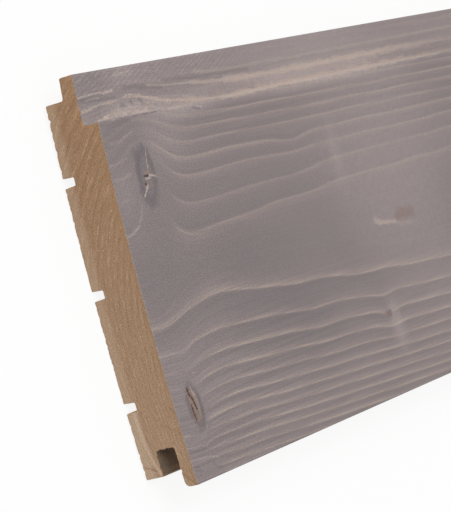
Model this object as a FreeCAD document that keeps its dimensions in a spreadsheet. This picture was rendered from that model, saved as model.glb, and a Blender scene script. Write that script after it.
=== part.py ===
"""Tongue and groove board: one planed length of softwood, lying flat with its face up.

X runs along the length, Y across the width with the tongue at +Y and the groove at -Y, and Z through
the thickness. The back lies on Z = 0 and the origin is under the middle of the board. Lengths are in
millimetres. Each cut is drawn as a section across the board, in W and Z, where W is measured from the
edge of the front lip towards the tip of the tongue.
"""
import FreeCAD, Part
import os
import Sketcher

SIZES = {
    "stock_length": 1800.0,      # one of the 300 mm steps that such boards are sold in
    "board_thickness": 19.5,
    "face_width": 128.0,         # the flat face, front shoulder to front lip
    "shadow_gap": 5.0,           # open joint left between two faces once the backs meet
    "tongue_reach": 7.8,         # tongue beyond the back shoulder
    "tongue_root": 6.2,          # tongue thickness at its shoulders
    "tongue_tip": 5.4,           # tongue thickness at its tip
    "back_rebate": 7.4,          # step from the back up to the tongue
    "lip_overhang": 5.2,         # front lip beyond the back lip
    "seat_clearance": 0.2,       # between tongue and back lip
    "face_clearance": 0.9,       # between tongue and front lip
    "end_clearance": 1.4,        # between tongue tip and groove floor once the backs meet
    "relief_count": 3.0,
    "relief_offset": 27.4,       # back shoulder to the middle of the first relief slot
    "relief_pitch": 40.0,
    "relief_mouth": 3.4,
    "relief_floor": 2.8,
    "relief_depth": 4.5,
    "arris_round": 0.8,          # the two long edges of the face
    "back_round": 0.5,           # the two long edges of the back
    "tip_round": 0.7,
    "root_round": 0.8,           # hollow corners at the tongue's shoulders and the groove's floor
    "lead_in": 2.0,              # rounded inside of the front lip, where a tongue enters
    "mouth_round": 0.6,          # inside edge of the back lip
}

# Places across the section, from the edge of the front lip to the tip of the tongue
OVERALL = "(Sizes.face_width + Sizes.shadow_gap + Sizes.lip_overhang + Sizes.tongue_reach)"
FRONT_SHOULDER = "Sizes.face_width"
BACK_SHOULDER = f"({OVERALL} - Sizes.tongue_reach)"
BACK_LIP = "Sizes.lip_overhang"
GROOVE_FLOOR = "(Sizes.lip_overhang + Sizes.tongue_reach + Sizes.end_clearance)"
FIRST_RELIEF = f"({BACK_SHOULDER} - Sizes.relief_offset)"

# Heights above the back
FACE = "Sizes.board_thickness"
TONGUE_UNDER = "Sizes.back_rebate"
TONGUE_OVER = "(Sizes.back_rebate + Sizes.tongue_root)"
TAPER = "((Sizes.tongue_root - Sizes.tongue_tip) / 2)"
TIP_UNDER = f"({TONGUE_UNDER} + {TAPER})"
TIP_OVER = f"({TONGUE_OVER} - {TAPER})"
GROOVE_UNDER = f"({TONGUE_UNDER} - Sizes.seat_clearance)"
GROOVE_OVER = f"({TONGUE_OVER} + Sizes.face_clearance)"
ZERO = "0"

# Corners that are rounded after the cuts, as places in the section
FACE_ARRISES = [(ZERO, FACE), (FRONT_SHOULDER, FACE)]
BACK_ARRISES = [(BACK_LIP, ZERO), (BACK_SHOULDER, ZERO)]
TIP_CORNERS = [(OVERALL, TIP_UNDER), (OVERALL, TIP_OVER)]
ROOT_CORNERS = [
    (FRONT_SHOULDER, TONGUE_OVER),
    (BACK_SHOULDER, TONGUE_UNDER),
    (GROOVE_FLOOR, GROOVE_UNDER),
    (GROOVE_FLOOR, GROOVE_OVER),
]
LEAD_IN_CORNER = [(ZERO, GROOVE_OVER)]
MOUTH_CORNER = [(BACK_LIP, GROOVE_UNDER)]
TOUCH = 0.01


def make_sheet(doc):
    """Put the driving sizes in a spreadsheet, one named cell each."""
    sheet = doc.addObject("Spreadsheet::Sheet", "Sizes")
    for row, (name, value) in enumerate(SIZES.items(), start=1):
        sheet.set(f"A{row}", name)
        sheet.set(f"B{row}", str(value))
        sheet.setAlias(f"B{row}", name)
    doc.recompute()
    return sheet


def origin_feature(body, role):
    """Find one of the body's own planes or axes."""
    for feature in body.Origin.OriginFeatures:
        if feature.Role == role:
            return feature
    raise ValueError(f"no origin feature {role}")


def place_corner(sketch, geometry, axis_distance, axis_line, expression):
    """Hold the start of one line at a distance from the sketch's origin, or on its axis."""
    if expression == ZERO:
        sketch.addConstraint(Sketcher.Constraint("PointOnObject", geometry, 1, axis_line))
        return
    start = sketch.Geometry[geometry].StartPoint
    value = start.x if axis_distance == "DistanceX" else start.y
    index = sketch.addConstraint(Sketcher.Constraint(axis_distance, -1, 1, geometry, 1, value))
    sketch.setExpression(f"Constraints[{index}]", expression)


def draw_section(body, name, corners):
    """Draw a closed outline across the board, each corner tied to the sheet in W and in Z."""
    sketch = body.newObject("Sketcher::SketchObject", name)
    sketch.AttachmentSupport = (origin_feature(body, "YZ_Plane"), [""])
    sketch.MapMode = "FlatFace"
    sketch.setExpression("AttachmentOffset.Base.x", f"-{OVERALL} / 2")
    points = []
    for across, height in corners:
        w = float(sketch.evalExpression(across))
        z = float(sketch.evalExpression(height))
        points.append(FreeCAD.Vector(w, z, 0))
    count = len(points)
    for index in range(count):
        sketch.addGeometry(Part.LineSegment(points[index], points[(index + 1) % count]), False)
    for index in range(count):
        sketch.addConstraint(Sketcher.Constraint("Coincident", index, 2, (index + 1) % count, 1))
    for index, (across, height) in enumerate(corners):
        place_corner(sketch, index, "DistanceX", -2, across)
        place_corner(sketch, index, "DistanceY", -1, height)
    return sketch


def cut(doc, body, name, corners):
    """Run a cutter of the given section along the whole board."""
    before = body.Shape.Volume
    sketch = draw_section(body, f"{name}Section", corners)
    pocket = body.newObject("PartDesign::Pocket", name)
    pocket.Profile = sketch
    pocket.Type = "Length"
    pocket.Midplane = True
    pocket.setExpression("Length", "Sizes.stock_length")
    doc.recompute()
    if body.Shape.Volume >= before:
        raise ValueError(f"{name} cut nothing")
    return pocket


def long_edges(body, corners):
    """Names of the edges that run the board's length at the given places in the section."""
    half = float(body.evalExpression(OVERALL)) / 2
    places = []
    for across, height in corners:
        places.append((float(body.evalExpression(across)) - half, float(body.evalExpression(height))))
    names = []
    for number, edge in enumerate(body.Shape.Edges, start=1):
        ends = [vertex.Point for vertex in edge.Vertexes]
        for y, z in places:
            if len(ends) == 2 and all(abs(end.y - y) < TOUCH and abs(end.z - z) < TOUCH for end in ends):
                names.append(f"Edge{number}")
    if len(names) != len(corners):
        raise ValueError(f"found {len(names)} long edges, expected {len(corners)}")
    return names


def round_edges(doc, body, name, corners, size):
    """Round the long edges at the given places to the radius that one cell holds."""
    before = body.Tip
    edges = long_edges(body, corners)
    fillet = body.newObject("PartDesign::Fillet", name)
    fillet.Base = (before, edges)
    fillet.setExpression("Radius", f"Sizes.{size}")
    doc.recompute()
    return fillet


def make_board(doc):
    """Plane the blank, cut the tongue, groove and relief slots, then ease the edges."""
    body = doc.addObject("PartDesign::Body", "Board")
    body.Label = "board"

    blank = body.newObject("PartDesign::Pad", "Blank")
    blank.Profile = draw_section(body, "BlankSection", [
        (ZERO, ZERO), (OVERALL, ZERO), (OVERALL, FACE), (ZERO, FACE)])
    blank.Midplane = True
    blank.setExpression("Length", "Sizes.stock_length")
    doc.recompute()

    cut(doc, body, "FrontRebate", [
        (FRONT_SHOULDER, TONGUE_OVER), (OVERALL, TIP_OVER), (OVERALL, FACE), (FRONT_SHOULDER, FACE)])
    cut(doc, body, "BackRebate", [
        (BACK_SHOULDER, ZERO), (OVERALL, ZERO), (OVERALL, TIP_UNDER), (BACK_SHOULDER, TONGUE_UNDER)])
    cut(doc, body, "Groove", [
        (ZERO, GROOVE_UNDER), (GROOVE_FLOOR, GROOVE_UNDER), (GROOVE_FLOOR, GROOVE_OVER), (ZERO, GROOVE_OVER)])
    cut(doc, body, "BackLip", [
        (ZERO, ZERO), (BACK_LIP, ZERO), (BACK_LIP, GROOVE_UNDER), (ZERO, GROOVE_UNDER)])

    relief = cut(doc, body, "Relief", [
        (f"({FIRST_RELIEF} - Sizes.relief_mouth / 2)", ZERO),
        (f"({FIRST_RELIEF} + Sizes.relief_mouth / 2)", ZERO),
        (f"({FIRST_RELIEF} + Sizes.relief_floor / 2)", "Sizes.relief_depth"),
        (f"({FIRST_RELIEF} - Sizes.relief_floor / 2)", "Sizes.relief_depth")])
    slots = body.newObject("PartDesign::LinearPattern", "ReliefSlots")
    slots.Originals = [relief]
    slots.Direction = (origin_feature(body, "Y_Axis"), [""])
    slots.Reversed = True
    slots.setExpression("Length", "Sizes.relief_pitch * (Sizes.relief_count - 1)")
    slots.setExpression("Occurrences", "Sizes.relief_count")
    body.Tip = slots
    doc.recompute()

    round_edges(doc, body, "FaceArrises", FACE_ARRISES, "arris_round")
    round_edges(doc, body, "BackArrises", BACK_ARRISES, "back_round")
    round_edges(doc, body, "TipRounds", TIP_CORNERS, "tip_round")
    round_edges(doc, body, "RootRounds", ROOT_CORNERS, "root_round")
    round_edges(doc, body, "LeadIn", LEAD_IN_CORNER, "lead_in")
    round_edges(doc, body, "MouthRound", MOUTH_CORNER, "mouth_round")
    return body


def check(doc, body):
    """Stop if any object failed, or if the board isn't one sound solid."""
    for item in doc.Objects:
        if "Invalid" in item.State or "Error" in item.State:
            raise ValueError(f"{item.Name} failed: {item.State}")
    shape = body.Shape
    if shape.isNull() or not shape.isValid() or len(shape.Solids) != 1:
        raise ValueError("the board is not one sound solid")


def main():
    """Build the board and write it out."""
    os.makedirs("parts", exist_ok=True)
    doc = FreeCAD.newDocument("TongueAndGrooveBoard")
    make_sheet(doc)
    body = make_board(doc)
    check(doc, body)
    box = body.Shape.BoundBox
    print(f"{body.Label}: {box.XLength:.2f} x {box.YLength:.2f} x {box.ZLength:.2f} mm, "
          f"{body.Shape.Volume / 1000:.1f} cm3")
    body.Shape.exportStep(f"parts/{body.Label}.step")


main()
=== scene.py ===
"""Brushed, grey-stained tongue and groove board lying on a white studio floor.

The board is one dense mesh that follows the CAD section and adds what the planer, the brush and the saw
left on it. The wood is described in millimetres: x runs along the board from the sawn end that faces the
camera, w across it from the edge of the front lip to the tip of the tongue, and z up from the back.
"""
import functools
import logging
import math
from dataclasses import dataclass, field
from enum import Enum

import bpy
import numpy as np
from mathutils import Matrix, Vector
from mathutils.geometry import delaunay_2d_cdt


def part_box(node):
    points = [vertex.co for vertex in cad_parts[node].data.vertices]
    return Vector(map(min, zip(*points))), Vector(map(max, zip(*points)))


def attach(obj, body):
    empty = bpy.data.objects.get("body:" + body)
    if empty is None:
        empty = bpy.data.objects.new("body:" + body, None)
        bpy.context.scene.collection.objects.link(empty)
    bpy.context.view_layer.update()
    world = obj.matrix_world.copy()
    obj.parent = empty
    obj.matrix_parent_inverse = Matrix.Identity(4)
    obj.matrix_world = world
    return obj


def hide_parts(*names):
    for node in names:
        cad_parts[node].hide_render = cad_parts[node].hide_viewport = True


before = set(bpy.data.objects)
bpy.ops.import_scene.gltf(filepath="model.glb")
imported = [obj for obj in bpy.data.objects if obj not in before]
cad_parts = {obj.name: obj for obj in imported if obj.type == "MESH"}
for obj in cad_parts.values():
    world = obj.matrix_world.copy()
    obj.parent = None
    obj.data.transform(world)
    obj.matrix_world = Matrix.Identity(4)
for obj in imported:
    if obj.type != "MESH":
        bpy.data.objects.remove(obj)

log = logging.getLogger("board_scene")

MM = 0.001
TURN = 2.0 * math.pi
LINE_RISE = 0.3
LINE_RISE_SHARE = 0.045
Colour = tuple[float, float, float, float]
Place = tuple[float, float]


class Surface(Enum):
    """Kinds of skin on the board; the value is the material slot on the mesh."""

    STAINED = 0
    BARE = 1
    END_GRAIN = 2


class Band(Enum):
    """Stretches of the section that the brush reached, or not."""

    FACE = "face"
    STRIP = "strip"
    UNBRUSHED = "unbrushed"


class Tone(Enum):
    """Colours of single marks; the value is the finish's field for it."""

    DUSK = "dusk"
    BROWN = "brown"
    BEIGE = "beige"
    PALE = "pale"
    CRACK = "crack"


def shade(*screen: int) -> Colour:
    """Turn a colour as a screen shows it into the linear colour that a shader takes.

    Args:
        *screen: Red, green and blue on the screen, 0 to 255.

    Returns:
        Linear red, green and blue, with full alpha.
    """
    parts = [level / 255.0 for level in screen]
    linear = [part / 12.92 if part <= 0.04045 else ((part + 0.055) / 1.055) ** 2.4 for part in parts]
    return (linear[0], linear[1], linear[2], 1.0)


@dataclass(frozen=True)
class Spots:
    """Places in the wood: along the board, across it and up from its back."""

    x: np.ndarray
    w: np.ndarray
    z: np.ndarray

    def moved(self, x: float, w: np.ndarray | float, z: np.ndarray | float) -> "Spots":
        """Give places a little way off."""
        return Spots(self.x + x, self.w + w, self.z + z)


@dataclass(frozen=True)
class Waves:
    """Smooth wander that is the same on every run: seeded sine waves over one or two coordinates."""

    seed: int
    shortest: float
    longest: float
    count: int = 8

    def at(self, first: np.ndarray, second: np.ndarray | float = 0.0) -> np.ndarray:
        """Give the wander at some places.

        Args:
            first: Coordinate along the first direction.
            second: Coordinate along the second direction.

        Returns:
            Values that mostly lie between -1 and 1.
        """
        draw = np.random.default_rng(self.seed)
        total = first * 0.0 + second * 0.0
        for _ in range(self.count):
            length = math.exp(draw.uniform(math.log(self.shortest), math.log(self.longest)))
            heading = draw.uniform(0.0, TURN)
            start = draw.uniform(0.0, TURN)
            reach = first * math.cos(heading) + second * math.sin(heading)
            total = total + np.sin(reach * TURN / length + start)
        return total / math.sqrt(self.count)


@dataclass(frozen=True)
class Stroke:
    """A crack, pit, seam or streak: a broken line of some width, on the face or on the sawn end."""

    points: tuple[Place, ...]
    half_width: float = 1.0
    strength: float = 1.0

    def pieces(self) -> list[tuple[Place, Place]]:
        """Give the straight pieces of the line."""
        return list(zip(self.points, self.points[1:]))

    def distance(self, first: np.ndarray, second: np.ndarray) -> np.ndarray:
        """Measure how far places lie from the line.

        Args:
            first: First coordinates of the places.
            second: Second coordinates of the places.

        Returns:
            Distances in mm.
        """
        nearest = np.full(np.broadcast(first, second).shape, 1e6)
        for (a, b), (c, d) in self.pieces():
            length = (c - a) ** 2 + (d - b) ** 2
            part = np.clip(((first - a) * (c - a) + (second - b) * (d - b)) / length, 0.0, 1.0)
            nearest = np.minimum(nearest, np.hypot(first - a - part * (c - a), second - b - part * (d - b)))
        return nearest


@dataclass(frozen=True)
class Patch:
    """A soft oval patch of the face, strongest in its middle."""

    x: float
    w: float
    reach_x: float
    reach_w: float
    strength: float

    def at(self, x: np.ndarray, w: np.ndarray) -> np.ndarray:
        """Give the patch's strength at places along and across the board."""
        off = ((x - self.x) / self.reach_x) ** 2 + ((w - self.w) / self.reach_w) ** 2
        return self.strength * np.exp(-0.5 * off)


@dataclass(frozen=True)
class Knot:
    """A branch cut through by the face: an oval of its own wood."""

    x: float
    w: float
    half_x: float
    half_w: float
    lean: float
    brown: float

    def radius(self, x: np.ndarray, w: np.ndarray) -> np.ndarray:
        """Measure places along and across the board from the middle of the knot, 1 at its rim."""
        across = w - self.w
        return np.hypot((x - self.x - self.lean * across) / self.half_x, across / self.half_w)


@dataclass(frozen=True)
class Log:
    """The tree that the board was sawn from, with its heart in front of the face."""

    face: float
    tongue_over: float
    shoulder: float
    knots: tuple[Knot, ...]
    swellings: tuple[Patch, ...]
    middle: float = 71.7
    middle_sway: float = 7.0
    middle_sway_length: float = 1450.0
    sway_start: float = 50.0
    first_line: float = 127.0
    ring_area: float = 430.0
    ring_drift: float = 450.0
    ring_drift_length: float = 1400.0
    ring_step: float = 1.6
    innermost: float = -0.9
    innermost_softness: float = 0.08
    closed_to: float = 250.0
    opening: float = 80.0
    second_line: float = 0.85
    second_line_reach: float = 0.35
    second_line_shift: float = 0.24
    second_line_end: float = 165.0
    second_line_fade: float = 40.0
    flow_least: float = 14.0
    heart: float = 110.0
    strip_line: float = 3249.0
    strip_area: float = 632.0
    strip_first: float = 11.0
    shoulder_slack: float = 0.3
    tip_start: float = 8.5
    tip_fade: float = 4.4
    strip_branches: tuple[tuple[float, float, float], ...] = (
        (25.0, 24.0, 1.25), (505.0, 30.0, 0.9), (930.0, 34.0, 1.1), (1385.0, 28.0, 1.0), (1690.0, 30.0, 0.8))
    wobble: Waves = Waves(seed=11, shortest=34.0, longest=110.0)
    wobble_rings: float = 0.035
    end_middle: float = 63.0
    end_heart: float = 74.0
    end_heart_groove: float = 200.0
    end_step: float = 2.3
    end_widening: float = 0.02
    end_wobble: float = 0.22

    def centre(self, x: np.ndarray) -> np.ndarray:
        """Give the line across the board that lies straight under the heart."""
        return self.middle - self.middle_sway * np.sin(TURN * (x - self.sway_start) / self.middle_sway_length)

    def fan(self, spots: Spots) -> np.ndarray:
        """Bring places back to the face along the branches, which fan out from the heart."""
        middle = self.centre(spots.x)
        return middle + (spots.w - middle) / (1.0 + (self.face - spots.z) / self.heart)

    def swell(self, spots: Spots) -> np.ndarray:
        """Add up what all branches push the rings outwards, in rings."""
        on_face = self.fan(spots)
        return sum(swelling.at(spots.x, on_face) for swelling in self.swellings)

    def strip_swell(self, x: np.ndarray) -> np.ndarray:
        """Add up what the branches under the tongue push the rings of its strip outwards, in rings."""
        return sum(rings * np.exp(-0.5 * ((x - place) / reach) ** 2)
                   for place, reach, rings in self.strip_branches)

    def strip_share(self, spots: Spots) -> np.ndarray:
        """Tell how far places belong to the strip in front of the tongue.

        Args:
            spots: Places in the wood.

        Returns:
            1 on the strip, falling to 0 up the shoulder and round the tongue's tip.
        """
        above = np.clip((self.face - spots.z) / (self.face - self.tongue_over), 0.0, 1.0)
        below = np.clip((spots.z - self.tip_start) / self.tip_fade, 0.0, 1.0)
        return np.where(spots.w > self.shoulder - self.shoulder_slack, np.minimum(above, below), 0.0)

    def rings(self, spots: Spots) -> np.ndarray:
        """Count growth rings outwards from the heart; each whole number is a hard late-wood line.

        Args:
            spots: Places in the wood.

        Returns:
            Ring counts with their fractions.
        """
        x, w = spots.x, spots.w
        drift = self.ring_drift * np.sin(TURN * (x - self.sway_start) / self.ring_drift_length)
        off = w - self.centre(x)
        on_face = (off ** 2 - self.first_line - drift) / self.ring_area - self.swell(spots)
        past_line = (on_face - self.second_line) / self.second_line_reach
        shift = np.where(off > 0.0, self.second_line_shift * np.exp(-past_line ** 2), 0.0)
        on_face = on_face + shift * np.clip((self.second_line_end - x) / self.second_line_fade, 0.0, 1.0)
        floor = self.innermost - np.clip((x - self.closed_to) / self.opening, 0.0, 2.0)
        soft = self.innermost_softness
        on_face = floor + soft * np.logaddexp(0.0, (on_face - floor) / soft)
        on_face = on_face + (self.face - spots.z) / self.ring_step
        on_strip = ((w - self.middle) ** 2 - self.strip_line) / self.strip_area - self.strip_swell(x)
        on_strip = on_strip + self.strip_first
        wobble = self.wobble_rings * self.wobble.at(x, w)
        return on_face + (on_strip - on_face) * self.strip_share(spots) + wobble

    def flow(self, spots: Spots) -> np.ndarray:
        """Give the line that fibres follow: places across the board with the swelling taken out.

        Args:
            spots: Places in the wood.

        Returns:
            Straightened places across the board.
        """
        off = spots.w - self.centre(spots.x)
        off = np.sign(off) * np.maximum(np.abs(off), self.flow_least)
        share = self.strip_share(spots)
        rings = self.swell(spots) * (1.0 - share) + self.strip_swell(spots.x) * share
        return spots.w - rings * self.ring_area / (2.0 * off)

    def end_numbers(self, w: np.ndarray, z: np.ndarray) -> dict[str, np.ndarray]:
        """Measure places on a sawn end by the rings that the saw cut across.

        Args:
            w: Places across the board.
            z: Heights above the back.

        Returns:
            Ring counts, with the rings closer together towards the groove, and distances along the rings.
        """
        off = w - self.end_middle
        heart = np.where(off > 0.0, self.end_heart, self.end_heart_groove)
        reach = np.hypot(off, heart - z) - heart
        reach = reach + self.end_wobble * self.wobble.at(2.0 * w, 2.0 * z)
        return {"end_ring": reach / (self.end_step + self.end_widening * off),
                "end_arc": heart * np.arctan2(off, heart - z)}


@dataclass(frozen=True)
class Corner:
    """A corner of the section, with the run that leaves it."""

    w: float
    z: float
    radius: float
    surface: Surface
    band: Band
    step: float


@dataclass(frozen=True)
class Outline:
    """The section as a closed row of points."""

    w: np.ndarray
    z: np.ndarray
    surface: np.ndarray
    brushed: np.ndarray
    room: np.ndarray

    def heading(self) -> tuple[np.ndarray, np.ndarray]:
        """Give the direction round the section at each point.

        Returns:
            Its parts across the board and upwards, of length 1 together.
        """
        along_w = np.roll(self.w, -1) - np.roll(self.w, 1)
        along_z = np.roll(self.z, -1) - np.roll(self.z, 1)
        size = np.hypot(along_w, along_z)
        return along_w / size, along_z / size

    def run(self) -> np.ndarray:
        """Measure the distance round the section from its first point."""
        steps = np.hypot(np.roll(self.w, -1) - self.w, np.roll(self.z, -1) - self.z)
        return np.concatenate(([0.0], np.cumsum(steps)[:-1]))

    def girth(self) -> float:
        """Measure the whole way round the section."""
        return float(self.run()[-1] + math.hypot(self.w[0] - self.w[-1], self.z[0] - self.z[-1]))

    def finer(self, parts: int) -> "Outline":
        """Divide every step round the section.

        Args:
            parts: Number of parts that each step becomes.

        Returns:
            The section with that many times the points.
        """
        shares = np.arange(parts) / parts

        def between(values: np.ndarray) -> np.ndarray:
            """Fill in values between the points."""
            return (values[:, None] * (1.0 - shares) + np.roll(values, -1)[:, None] * shares).ravel()

        return Outline(between(self.w), between(self.z), np.repeat(self.surface, parts),
                       between(self.brushed), between(self.room))


@dataclass(frozen=True)
class Section:
    """The board's section, from the same sizes as the CAD board."""

    overall: float
    thickness: float
    face_width: float = 128.0
    tongue_reach: float = 7.8
    tongue_root: float = 6.2
    tongue_tip: float = 5.4
    back_rebate: float = 7.4
    lip_overhang: float = 5.2
    seat_clearance: float = 0.2
    face_clearance: float = 0.9
    end_clearance: float = 1.4
    relief_count: int = 3
    relief_offset: float = 27.4
    relief_pitch: float = 40.0
    relief_mouth: float = 3.4
    relief_floor: float = 2.8
    relief_depth: float = 4.5
    arris_round: float = 0.8
    back_round: float = 0.5
    tip_round: float = 0.7
    root_round: float = 0.8
    lead_in: float = 2.0
    mouth_round: float = 0.6
    slot_round: float = 0.35
    face_step: float = 1.0
    back_step: float = 2.6
    side_step: float = 1.6
    arc_turn: float = math.radians(24.0)

    @property
    def tongue_over(self) -> float:
        """Height of the tongue's front at its root."""
        return self.back_rebate + self.tongue_root

    @property
    def groove_floor(self) -> float:
        """Depth of the groove, from the edge of the front lip."""
        return self.lip_overhang + self.tongue_reach + self.end_clearance

    @property
    def groove_under(self) -> float:
        """Height of the groove's side towards the back."""
        return self.back_rebate - self.seat_clearance

    @property
    def groove_over(self) -> float:
        """Height of the groove's side towards the face."""
        return self.tongue_over + self.face_clearance

    def corners(self) -> list[Corner]:
        """List the section's corners.

        Returns:
            Corners along the face, round the tongue, along the back and round the groove.
        """
        stained, bare = Surface.STAINED, Surface.BARE
        plain = Band.UNBRUSHED
        taper = (self.tongue_root - self.tongue_tip) / 2.0
        shoulder = self.overall - self.tongue_reach
        floor, under, over = self.groove_floor, self.groove_under, self.groove_over
        side = self.side_step
        found = [
            Corner(0.0, self.thickness, self.arris_round, stained, Band.FACE, self.face_step),
            Corner(self.face_width, self.thickness, self.arris_round, stained, plain, side),
            Corner(self.face_width, self.tongue_over, self.root_round, stained, Band.STRIP, self.face_step),
            Corner(self.overall, self.tongue_over - taper, self.tip_round, bare, plain, side),
            Corner(self.overall, self.back_rebate + taper, self.tip_round, bare, plain, side),
            Corner(shoulder, self.back_rebate, self.root_round, bare, plain, side),
            Corner(shoulder, 0.0, self.back_round, bare, plain, self.back_step),
        ]
        for number in range(self.relief_count):
            place = shoulder - self.relief_offset - number * self.relief_pitch
            mouth, end = self.relief_mouth / 2.0, self.relief_floor / 2.0
            found += [
                Corner(place + mouth, 0.0, self.slot_round, bare, plain, side),
                Corner(place + end, self.relief_depth, self.slot_round, bare, plain, side),
                Corner(place - end, self.relief_depth, self.slot_round, bare, plain, side),
                Corner(place - mouth, 0.0, self.slot_round, bare, plain, self.back_step),
            ]
        found += [
            Corner(self.lip_overhang, 0.0, self.back_round, bare, plain, side),
            Corner(self.lip_overhang, under, self.mouth_round, bare, plain, side),
            Corner(floor, under, self.root_round, bare, plain, side),
            Corner(floor, over, self.root_round, bare, plain, side),
            Corner(0.0, over, self.lead_in, stained, plain, side),
        ]
        return found

    def outline(self) -> Outline:
        """Round the corners and divide the runs between them.

        Returns:
            The section's points in order, clockwise as seen from the sawn end's far side.
        """
        corners = self.corners()
        count = len(corners)
        places = [np.array((corner.w, corner.z)) for corner in corners]
        arcs = []
        for index, corner in enumerate(corners):
            came = places[index] - places[index - 1]
            goes = places[(index + 1) % count] - places[index]
            came = came / np.linalg.norm(came)
            goes = goes / np.linalg.norm(goes)
            turn = math.acos(float(np.clip(came @ goes, -1.0, 1.0)))
            back = corner.radius * math.tan(turn / 2.0)
            start, end = places[index] - came * back, places[index] + goes * back
            bisector = (goes - came) / np.linalg.norm(goes - came)
            middle = places[index] + bisector * corner.radius / math.cos(turn / 2.0)
            pieces = max(2, math.ceil(turn / self.arc_turn))
            arc = []
            for piece in range(pieces + 1):
                share = piece / pieces
                spoke = ((start - middle) * math.sin((1.0 - share) * turn)
                         + (end - middle) * math.sin(share * turn)) / math.sin(turn)
                arc.append(middle + spoke)
            arcs.append(arc)
        points, surfaces, brushed, room = [], [], [], []
        for index, corner in enumerate(corners):
            before = corners[index - 1]
            touched = 0.5 if Band.UNBRUSHED not in (before.band, corner.band) else 0.0
            for point in arcs[index][:-1]:
                points.append(point)
                surfaces.append(before.surface.value)
                brushed.append(touched)
                room.append(0.0)
            start, end = arcs[index][-1], arcs[(index + 1) % count][0]
            reach = float(np.linalg.norm(end - start))
            pieces = max(1, round(reach / corner.step))
            for piece in range(pieces):
                points.append(start + (end - start) * piece / pieces)
                surfaces.append(corner.surface.value)
                brushed.append(0.0 if corner.band is Band.UNBRUSHED else 1.0)
                room.append(min(piece, pieces - piece) * reach / pieces)
        table = np.array(points)
        return Outline(table[:, 0], table[:, 1], np.array(surfaces), np.array(brushed), np.array(room))


class Value:
    """A number or colour that changes over a surface; sums with it add nodes to its graph."""

    def __init__(self, graph: "Graph", socket: bpy.types.NodeSocket) -> None:
        """Take the graph, and the socket that gives the value."""
        self.graph = graph
        self.socket = socket

    def __add__(self, other: object) -> "Value":
        """Add a number or value."""
        return self.graph.math("ADD", self, other)

    def __sub__(self, other: object) -> "Value":
        """Take a number or value away."""
        return self.graph.math("SUBTRACT", self, other)

    def __rsub__(self, other: object) -> "Value":
        """Take the value away from a number."""
        return self.graph.math("SUBTRACT", other, self)

    def __mul__(self, other: object) -> "Value":
        """Multiply by a number or value."""
        return self.graph.math("MULTIPLY", self, other)

    def __truediv__(self, other: object) -> "Value":
        """Divide by a number or value."""
        return self.graph.math("DIVIDE", self, other)

    def most(self, other: object) -> "Value":
        """Take the larger of two."""
        return self.graph.math("MAXIMUM", self, other)

    def ramp(self, start: float, end: float, low: float = 0.0, high: float = 1.0) -> "Value":
        """Go smoothly from low, where the value is at the start, to high, where it is at the end."""
        parts = dict(enumerate((self, start, end, low, high)))
        return self.graph.node("ShaderNodeMapRange", parts, interpolation_type="SMOOTHSTEP")


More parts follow.
